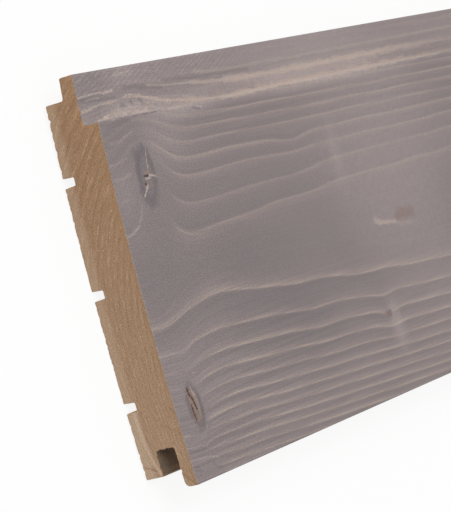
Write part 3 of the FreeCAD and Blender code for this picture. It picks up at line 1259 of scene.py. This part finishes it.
# Patches where the face is paler or darker: thin or thick stain, and painted light, with the wide pale patch
# farther along and the two long dark patches across the middle of the face.
CLOUDS = (
    Patch(205.0, 85.0, 50.0, 45.0, 0.8),
    Patch(64.0, 70.0, 48.0, 15.0, -0.6),
    Patch(110.0, 40.0, 45.0, 14.0, -0.7),
    Patch(38.0, 118.0, 14.0, 10.0, 0.6),
    Patch(8.0, 38.0, 16.0, 16.0, 0.5),
    Patch(6.0, 100.0, 8.0, 12.0, 0.5),
    Patch(38.0, 40.0, 12.0, 10.0, 0.35),
    Patch(8.0, 141.0, 8.0, 4.5, -1.6),
    Patch(5.0, 72.0, 10.0, 14.0, -0.2),
    Patch(6.0, 121.0, 12.0, 6.0, -0.4),
    Patch(162.5, 97.0, 2.5, 8.0, 0.5),
    Patch(175.0, 27.0, 3.5, 7.0, 0.9),
    Patch(3.0, 129.5, 5.0, 2.5, 0.8),
    Patch(22.0, 132.0, 9.0, 2.5, 0.8),
    Patch(36.0, 130.6, 13.0, 1.8, 1.2),
    Patch(64.0, 129.5, 18.0, 2.6, 1.2),
    Patch(56.0, 125.7, 12.0, 1.7, 0.6),
    Patch(33.0, 143.0, 7.0, 3.0, 0.5),
    Patch(168.0, 131.4, 48.0, 2.8, 1.9),
    Patch(175.0, 126.9, 45.0, 1.6, 0.8),
    Patch(165.0, 142.0, 40.0, 4.0, 0.5),
)


@dataclass
class Board:
    """The board: one sawn piece, as a mesh of the section swept along the length with its wear."""

    length: float
    section: Section
    cup: float = 1.46
    brush_depth: float = 0.13
    line_fall: float = 0.16
    knot_stand: float = 0.12
    knot_foot: float = 1.3
    knot_slope: float = 0.4
    crack_depth: float = 0.3
    crack_reach: float = 0.8
    end_ease: float = 0.12
    end_bite: float = 0.4
    end_reach: float = 1.1
    end_parts: int = 3
    other_end: float = 900.0
    coarse_bite: Waves = Waves(seed=23, shortest=1.7, longest=5.0)
    fine_bite: Waves = Waves(seed=29, shortest=0.7, longest=1.7)
    bite_room: float = 1.6
    least_spacing: float = 0.6
    most_spacing: float = 14.0
    cap_step: float = 1.0
    cap_jitter: float = 0.3
    cap_margin: float = 0.45
    near_spans: tuple[tuple[float, float], ...] = ((8.2, 1.0), (29.0, 0.55), (62.0, 1.8), (262.0, 3.2))
    far_start: float = 240.0
    far_fade: float = 120.0
    far_clouds: Waves = Waves(seed=31, shortest=60.0, longest=320.0)
    far_step: float = 22.0
    far_run: float = 10.0
    far_run_step: float = 2.2
    knot_reach: float = 2.6
    clear_of_knots: float = 3.0
    end_rows: tuple[float, ...] = (0.0, 0.27, 0.64)
    sharp_turn: float = math.radians(38.0)
    bake_fold: int = 4
    bake_gap: float = 16.0
    name: str = "stained_board"
    seed: int = 4
    whorls: tuple[float, ...] = (505.0, 930.0, 1385.0, 1690.0)
    far_half: tuple[float, float] = (3.0, 6.5)
    far_scatter: float = 22.0
    far_aside: tuple[float, float] = (16.0, 48.0)
    wood: Log = field(init=False)
    outline: Outline = field(init=False)
    columns: dict[str, list[np.ndarray]] = field(init=False, default_factory=dict)
    faces: list[list[int]] = field(init=False, default_factory=list)
    slots: list[int] = field(init=False, default_factory=list)
    bake: list[np.ndarray] = field(init=False, default_factory=list)

    def __post_init__(self) -> None:
        """Grow the log and draw the section."""
        knots, swellings = self.far_knots()
        self.wood = Log(self.section.thickness, self.section.tongue_over, self.section.face_width,
                        NEAR_KNOTS + knots, NEAR_SWELLINGS + swellings)
        self.outline = self.section.outline()

    def far_knots(self) -> tuple[tuple[Knot, ...], tuple[Patch, ...]]:
        """Place knots in whorls along the length that the camera doesn't see.

        Returns:
            The knots, and the swellings of the rings round them.
        """
        draw = np.random.default_rng(self.seed)
        knots, swellings = [], []
        for whorl in self.whorls:
            for side in (-1.0, 1.0):
                half = draw.uniform(*self.far_half)
                x = whorl + draw.uniform(-self.far_scatter, self.far_scatter)
                w = self.section.face_width / 2.0 + side * draw.uniform(*self.far_aside)
                knot = Knot(x, w, half, half * draw.uniform(1.2, 1.9), draw.uniform(-0.1, 0.1),
                            draw.uniform(0.0, 1.0))
                knots.append(knot)
                swellings.append(Patch(knot.x, knot.w, half * 1.7, half * 2.4, draw.uniform(0.8, 1.7)))
        return tuple(knots), tuple(swellings)

    def divide_length(self) -> np.ndarray:
        """Set stations between the two sawn ends, close together in the picture and at the far knots.

        Returns:
            Places along the board.
        """
        spans = list(self.near_spans)
        for knot in sorted(self.wood.knots[len(NEAR_KNOTS):], key=lambda each: each.x):
            reach = self.knot_reach * knot.half_x
            spans += [(knot.x - reach, self.far_step), (knot.x + reach, 0.5 * knot.half_x)]
        spans.append((self.length - self.far_run, self.far_step))
        spans.append((self.length - self.end_reach, self.far_run_step))
        places = [self.end_reach]
        for end, step in spans:
            start = places[-1]
            pieces = max(1, round((end - start) / step))
            for piece in range(1, pieces + 1 if end > start else 1):
                places.append(start + (end - start) * piece / pieces)
        return np.array(places)

    def spacing(self, outline: Outline, spots: Spots) -> np.ndarray:
        """Measure how far apart the ring lines lie on the surface.

        Args:
            outline: The section that the places lie on.
            spots: Places in the wood.

        Returns:
            Distances in mm.
        """
        step = 0.05
        rings = self.wood.rings
        aside, rise = (step * part[None, :] for part in outline.heading())
        around = rings(spots.moved(0.0, aside, rise)) - rings(spots.moved(0.0, -aside, -rise))
        along = rings(spots.moved(step, 0.0, 0.0)) - rings(spots.moved(-step, 0.0, 0.0))
        steepness = np.maximum(np.hypot(around, along), 1e-4)
        return np.clip(2.0 * step / steepness, self.least_spacing, self.most_spacing)

    def knot_numbers(self, spots: Spots) -> tuple[np.ndarray, np.ndarray]:
        """Measure places from the nearest knot.

        Args:
            spots: Places in the wood.

        Returns:
            Distances, 1 at a knot's rim, and how brown that knot is.
        """
        on_face = self.wood.fan(spots)
        nearest, brown = np.full(on_face.shape, self.clear_of_knots), np.zeros(on_face.shape)
        for branch in self.wood.knots:
            radius = branch.radius(spots.x, on_face)
            brown = np.where(radius < nearest, branch.brown, brown)
            nearest = np.minimum(nearest, radius)
        return np.where(self.wood.strip_share(spots) > 0.05, self.clear_of_knots, nearest), brown

    def blotch_and_painted_light(self, x: np.ndarray, w: np.ndarray) -> np.ndarray:
        """Tell where the face is paler or darker: where the stain took thinly or thickly, with painted light
        that makes it paler farther along and darker in the middle of the face.

        Args:
            x: Places along the board.
            w: Places across the board.

        Returns:
            Above 0 where it is pale, below 0 where it is dark.
        """
        near = sum(patch.at(x, w) for patch in CLOUDS)
        far = np.clip((x - self.far_start) / self.far_fade, 0.0, 1.0)
        return near * (1.0 - far) + far * (0.25 + 0.5 * self.far_clouds.at(x, 3.0 * w))

    def worn(self, outline: Outline, rings: np.ndarray, spacing: np.ndarray, knot: np.ndarray,
             crack: np.ndarray, x: np.ndarray) -> np.ndarray:
        """Work out how deep brush, cracks and saw went into the surface.

        Args:
            outline: The section that the places lie on.
            rings: Ring counts.
            spacing: Distances between ring lines.
            knot: Distances from knots.
            crack: Distances from cracks in mm.
            x: Places along the board.

        Returns:
            Depths in mm.
        """
        part = rings - np.floor(rings)
        line = np.exp(-(1.0 - part) * spacing / (LINE_RISE + LINE_RISE_SHARE * spacing))
        line = np.maximum(line, np.exp(-part * spacing / self.line_fall))
        stand = np.clip(self.knot_foot - knot, 0.0, self.knot_slope) / self.knot_slope
        deep = self.brush_depth * (1.0 - line) - self.knot_stand * stand
        deep = np.maximum(deep + self.crack_depth * np.exp(-(crack / self.crack_reach) ** 2), 0.0)
        deep = deep * outline.brushed[None, :]
        ends = np.minimum(x, self.length - x)
        run = outline.run()[None, :] + np.where(x < self.length / 2.0, 0.0, self.other_end)
        bite = np.clip(0.55 * self.coarse_bite.at(run) + 0.35 * self.fine_bite.at(run), 0.0, 1.0)
        bite = bite * np.clip(outline.room / self.bite_room, 0.0, 1.0)[None, :]
        frayed = 0.9 + 0.8 * np.clip((outline.w - self.section.face_width) / 2.0, 0.0, 1.0)
        ease = self.end_ease + self.end_bite * bite * frayed[None, :]
        return deep + ease * np.clip(1.0 - ends / self.end_reach, 0.0, 1.0)

    def add_points(self, outline: Outline, stations: np.ndarray) -> np.ndarray:
        """Set the section at some stations, worn, with what the finishes read there.

        Args:
            outline: The section to set.
            stations: Places along the board.

        Returns:
            Numbers of the new points, by station and point of the section.
        """
        x = stations[:, None] + 0.0 * outline.w[None, :]
        w, z = outline.w[None, :] + 0.0 * x, outline.z[None, :] + 0.0 * x
        spots = Spots(x, w, z)
        rings = self.wood.rings(spots)
        spacing = self.spacing(outline, spots)
        knot, brown = self.knot_numbers(spots)
        crack = np.full(x.shape, 6.0)
        for stroke in FACE_STROKES[Tone.CRACK]:
            crack = np.minimum(crack, stroke.distance(x, w))
        deep = self.worn(outline, rings, spacing, knot, crack, x)
        head_w, head_z = outline.heading()
        # Points inside the groove, where the bare finish paints shade.
        slack = 0.1
        in_groove = w < self.section.groove_floor + slack
        in_groove &= (z > self.section.groove_under - slack) & (z < self.section.groove_over + slack)
        return self.keep({
            "x": x, "w": w + head_z[None, :] * deep, "z": z - head_w[None, :] * deep,
            "along": x, "across": w, "depth": z,
            "ring": rings, "spacing": spacing, "flow": self.wood.flow(spots), "knot": knot, "brown": brown,
            "strip": self.wood.strip_share(spots), "blotch_and_painted_light": self.blotch_and_painted_light(x, w),
            "painted_groove_shade": np.where(in_groove, 1.0, 0.0), **self.wood.end_numbers(w, z),
        }).reshape(x.shape)

    def keep(self, numbers: dict[str, np.ndarray]) -> np.ndarray:
        """Keep the numbers of new points.

        Args:
            numbers: Values by name, all of one shape.

        Returns:
            The points' places in the mesh, in one row.
        """
        start = sum(len(part) for part in self.columns.get("x", []))
        for name, values in numbers.items():
            self.columns.setdefault(name, []).append(values.ravel())
        return np.arange(start, start + numbers["x"].size)

    def bake_spots(self, x: np.ndarray, run: np.ndarray, fold: np.ndarray) -> np.ndarray:
        """Lay places of the skin out on the map that textures are baked to, with the length folded.

        Args:
            x: Places along the board.
            run: Distances round the section.
            fold: Stretch of the length that each place's face lies in.

        Returns:
            Places on the map, from 0 to 1.
        """
        stretch = self.length / self.bake_fold
        right = fold % 2 * (stretch + self.bake_gap) + x - fold * stretch
        up = fold // 2 * (self.outline.girth() + self.bake_gap) + run
        return (np.stack((right, up), axis=-1) + self.bake_gap / 2.0) / self.bake_side()

    def bake_side(self) -> float:
        """Measure the map that textures are baked to.

        Returns:
            Its side in mm of skin.
        """
        wide = 2.0 * (self.length / self.bake_fold + self.bake_gap)
        high = 2.0 * (self.outline.girth() + self.bake_gap) + self.section.thickness + self.bake_gap
        return max(wide, high)

    def fold_at(self, x: np.ndarray) -> np.ndarray:
        """Tell which stretch of the length places lie in."""
        return np.minimum(np.floor(x * self.bake_fold / self.length), self.bake_fold - 1)

    def add_skin(self, index: np.ndarray, stations: np.ndarray, outline: Outline) -> None:
        """Lay four-sided faces over points that follow one section.

        Args:
            index: Numbers of the points, by station and point of the section.
            stations: Places along the board.
            outline: The section.
        """
        after = np.roll(index, -1, axis=1)
        quads = np.stack((index[:-1], index[1:], after[1:], after[:-1]), axis=-1).reshape(-1, 4)
        self.faces += quads.tolist()
        self.slots += np.tile(outline.surface, len(stations) - 1).tolist()
        run = np.append(outline.run(), outline.girth())
        low, high = run[None, :-1], run[None, 1:]
        start, end = stations[:-1, None], stations[1:, None]
        fold = self.fold_at((start + end) / 2.0) + 0.0 * low
        spots = [self.bake_spots(x + 0.0 * fold, side + 0.0 * fold, fold)
                 for x, side in ((start, low), (end, low), (end, high), (start, high))]
        self.bake.append(np.stack(spots, axis=2).reshape(-1, 2))

    def add_stitch(self, fine: np.ndarray, coarse: np.ndarray, fine_x: float, coarse_x: float) -> None:
        """Join the finer section of an end to the body's section.

        Args:
            fine: Numbers of the finer section's points.
            coarse: Numbers of the body's points.
            fine_x: Where the finer section stands along the board.
            coarse_x: Where the body's section stands along the board.
        """
        parts = self.end_parts
        count = len(coarse)
        run = np.append(self.outline.run(), self.outline.girth())
        fold = self.fold_at(np.array((fine_x + coarse_x) / 2.0))
        for column in range(count):
            rim = [int(fine[(column * parts + part) % len(fine)]) for part in range(parts + 1)]
            sides = np.linspace(run[column], run[column + 1], parts + 1).tolist()
            face = [int(coarse[column])] + rim + [int(coarse[(column + 1) % count])]
            spots = self.bake_spots(np.array([coarse_x] + [fine_x] * len(rim) + [coarse_x]),
                                    np.array([sides[0]] + sides + [sides[-1]]), fold)
            near = fine_x < coarse_x
            self.faces.append(face[::-1] if near else face)
            self.slots.append(int(self.outline.surface[column]))
            self.bake.append(spots[::-1] if near else spots)

    def add_end(self, rim: np.ndarray, x: float) -> None:
        """Close a sawn end with triangles.

        Args:
            rim: Numbers of the points round the end.
            x: Where the end stands along the board.
        """
        near = x < self.length / 2.0
        rim_w = np.concatenate(self.columns["w"])[rim]
        rim_z = np.concatenate(self.columns["z"])[rim]
        inner, triangles = self.fill_end(rim_w, rim_z)
        w, z = inner[:, 0], inner[:, 1]
        known = {"x": w * 0.0 + x, "w": w, "z": z, "along": w * 0.0 + x, "across": w, "depth": z, "flow": w,
                 **self.wood.end_numbers(w, z)}
        index = np.concatenate((rim, self.keep({name: known.get(name, w * 0.0) for name in self.columns})))
        corners = np.array([triangle[::-1] if near else triangle for triangle in triangles])
        self.faces += index[corners].tolist()
        self.slots += [Surface.END_GRAIN.value] * len(triangles)
        flat = np.column_stack((np.concatenate((rim_w, w)), np.concatenate((rim_z, z))))
        flat[:, 0] += 0.0 if near else self.section.overall + self.bake_gap
        flat[:, 1] += 2.0 * (self.outline.girth() + self.bake_gap)
        self.bake.append((flat[corners.ravel()] + self.bake_gap / 2.0) / self.bake_side())

    def fill_end(self, w: np.ndarray, z: np.ndarray) -> tuple[np.ndarray, list[list[int]]]:
        """Fill the section with triangles.

        Args:
            w: Places across the board of the section's points.
            z: Heights of the section's points.

        Returns:
            Points added inside the section, and triangles that count the section's points first.
        """
        draw = np.random.default_rng(self.seed)
        grid_w, grid_z = np.meshgrid(np.arange(0.5, self.section.overall, self.cap_step),
                                     np.arange(0.5, self.section.thickness, self.cap_step))
        grid = np.column_stack((grid_w.ravel(), grid_z.ravel()))
        grid = grid + draw.uniform(-self.cap_jitter, self.cap_jitter, grid.shape) * self.cap_step
        next_w, next_z = np.roll(w, -1), np.roll(z, -1)
        near = np.full(len(grid), 1e6)
        crossings = np.zeros(len(grid), dtype=int)
        for a, b, c, d in zip(w, z, next_w, next_z):
            near = np.minimum(near, Stroke(((a, b), (c, d))).distance(grid[:, 0], grid[:, 1]))
            spans = (b > grid[:, 1]) != (d > grid[:, 1])
            slope = (c - a) / (d - b) if d != b else 0.0
            crossings += spans & (grid[:, 0] < a + slope * (grid[:, 1] - b))
        inner = grid[(crossings % 2 == 1) & (near > self.cap_margin * self.cap_step)]
        rim = [Vector((a, b)) for a, b in zip(w, z)]
        ring = [(index, (index + 1) % len(rim)) for index in range(len(rim))]
        made = delaunay_2d_cdt(rim + [Vector(point) for point in inner], ring, [], 1, 1e-5)
        source = [given[0] for given in made[3]]
        return inner, [[source[corner] for corner in face] for face in made[2]]

    def build(self, effects: WoodEffects) -> bpy.types.Object:
        """Build the mesh, give it its numbers and dress it.

        Args:
            effects: The node groups that the finishes use.

        Returns:
            The board, in metres in the CAD frame.
        """
        fine = self.outline.finer(self.end_parts)
        near = np.array(self.end_rows) * self.end_reach
        far = self.length - near[::-1]
        body = self.divide_length()
        near_index = self.add_points(fine, near)
        body_index = self.add_points(self.outline, body)
        far_index = self.add_points(fine, far)
        self.add_skin(near_index, near, fine)
        self.add_skin(body_index, body, self.outline)
        self.add_skin(far_index, far, fine)
        self.add_stitch(near_index[-1], body_index[0], float(near[-1]), float(body[0]))
        self.add_stitch(far_index[0], body_index[-1], float(far[0]), float(body[-1]))
        self.add_end(near_index[0], 0.0)
        self.add_end(far_index[-1], self.length)

        table = {name: np.concatenate(parts) for name, parts in self.columns.items()}
        half = self.section.face_width / 2.0
        lift = self.cup * ((table["w"] - half) / half) ** 2
        points = np.column_stack((table.pop("x") - self.length / 2.0,
                                  table.pop("w") - self.section.overall / 2.0, table.pop("z") + lift)) * MM
        mesh = bpy.data.meshes.new(self.name)
        mesh.from_pydata(points.tolist(), [], self.faces)
        spots = mesh.uv_layers.new(name="OFBake")
        spots.uv.foreach_set("vector", np.concatenate(self.bake).ravel().astype(np.float32))
        for name, values in table.items():
            attribute = mesh.attributes.new(name, "FLOAT", "POINT")
            attribute.data.foreach_set("value", values.astype(np.float32))
        for finish in (StainedFinish(), BareFinish(), EndGrainFinish()):
            mesh.materials.append(finish.material(effects))
        mesh.polygons.foreach_set("material_index", self.slots)
        mesh.shade_smooth()
        mesh.set_sharp_from_angle(angle=self.sharp_turn)
        mesh.validate()
        return put_in_scene(self.name, mesh)


@dataclass
class Studio:
    """White floor, soft light and the camera, in metres."""

    floor_half: float = 14.0
    floor_colour: Colour = (0.9, 0.9, 0.9, 1.0)
    floor_roughness: float = 0.9
    floor_glow: float = 0.9
    ambient: float = 0.55
    key_place: tuple[float, float, float] = (-3.1, 1.7, 3.6)
    key_aim: tuple[float, float, float] = (-0.6, 0.0, 0.0)
    key_size: float = 2.6
    key_watts: float = 130.0
    camera_place: tuple[float, float, float] = (-1.70366, 0.01542, 0.52826)
    camera_ahead: tuple[float, float, float] = (0.86168, -0.01664, -0.50717)
    camera_up: tuple[float, float, float] = (0.14872, 0.96395, 0.22062)
    focal_pixels: float = 2800.0
    image_height: float = 512.0
    sensor: float = 36.0
    far_clip: float = 100.0

    def build(self) -> None:
        """Set up the whole studio."""
        self.build_floor()
        self.build_world()
        self.build_key()
        self.build_camera()

    def build_floor(self) -> None:
        """Lay the floor: white to the camera, with the board's shadow left in it."""
        half = self.floor_half
        corners = [(-half, -half, 0.0), (half, -half, 0.0), (half, half, 0.0), (-half, half, 0.0)]
        mesh = bpy.data.meshes.new("studio_floor")
        mesh.from_pydata(corners, [], [(0, 1, 2, 3)])
        material, graph, shader = new_material("white_floor")
        graph.feed(shader.inputs, {"Base Color": self.floor_colour, "Roughness": self.floor_roughness})
        glow = graph.add("ShaderNodeEmission").outputs["Emission"]
        shown = {0: graph.seen() * self.floor_glow, 1: shader.outputs["BSDF"], 2: glow}
        output = material.node_tree.nodes["Material Output"]
        graph.feed(output.inputs, {"Surface": graph.node("ShaderNodeMixShader", shown)})
        mesh.materials.append(material)
        floor = put_in_scene("studio_floor", mesh)

    def build_world(self) -> None:
        """Fill the room with even light, and show it white."""
        world = bpy.data.worlds.new("studio")
        world.use_nodes = True
        graph = Graph(world.node_tree)
        strength = graph.seen().ramp(0.0, 1.0, self.ambient, 1.0)
        background = world.node_tree.nodes["Background"]
        graph.feed(background.inputs, {"Color": (1.0, 1.0, 1.0, 1.0), "Strength": strength})
        bpy.context.scene.world = world

    def build_key(self) -> None:
        """Hang a large soft lamp over the camera's shoulder."""
        lamp = bpy.data.lights.new("key", "AREA")
        lamp.energy = self.key_watts
        lamp.size = self.key_size
        key = put_in_scene("key", lamp)
        key.location = self.key_place
        aim = Vector(self.key_aim) - Vector(self.key_place)
        key.rotation_euler = aim.to_track_quat("-Z", "Y").to_euler()

    def build_camera(self) -> None:
        """Stand the camera where the photograph was taken from."""
        data = bpy.data.cameras.new("camera")
        data.sensor_width = self.sensor
        data.lens = self.focal_pixels * self.sensor / self.image_height
        data.clip_end = self.far_clip
        ahead = Vector(self.camera_ahead).normalized()
        right = ahead.cross(Vector(self.camera_up)).normalized()
        up = right.cross(ahead)
        turn = Matrix((right, up, -ahead)).transposed().to_4x4()
        camera = put_in_scene("camera", data)
        camera.matrix_world = Matrix.Translation(self.camera_place) @ turn
        bpy.context.scene.camera = camera


def main() -> None:
    """Build the board to the CAD board's sizes and the studio, and log the board's triangle count."""
    logging.basicConfig(level=logging.INFO, format="%(message)s")
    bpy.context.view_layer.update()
    low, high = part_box("board")
    size = [(top - bottom) / MM for bottom, top in zip(low, high)]
    effects = WoodEffects()
    board = Board(size[0], Section(size[1], size[2])).build(effects)
    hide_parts("board")
    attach(board, "root")
    board.data.calc_loop_triangles()
    log.info("%s: %d triangles", board.name, len(board.data.loop_triangles))
    Studio().build()
    bpy.context.scene.view_settings.view_transform = "Standard"
    bpy.context.view_layer.update()


if __name__ == "__main__":
    main()
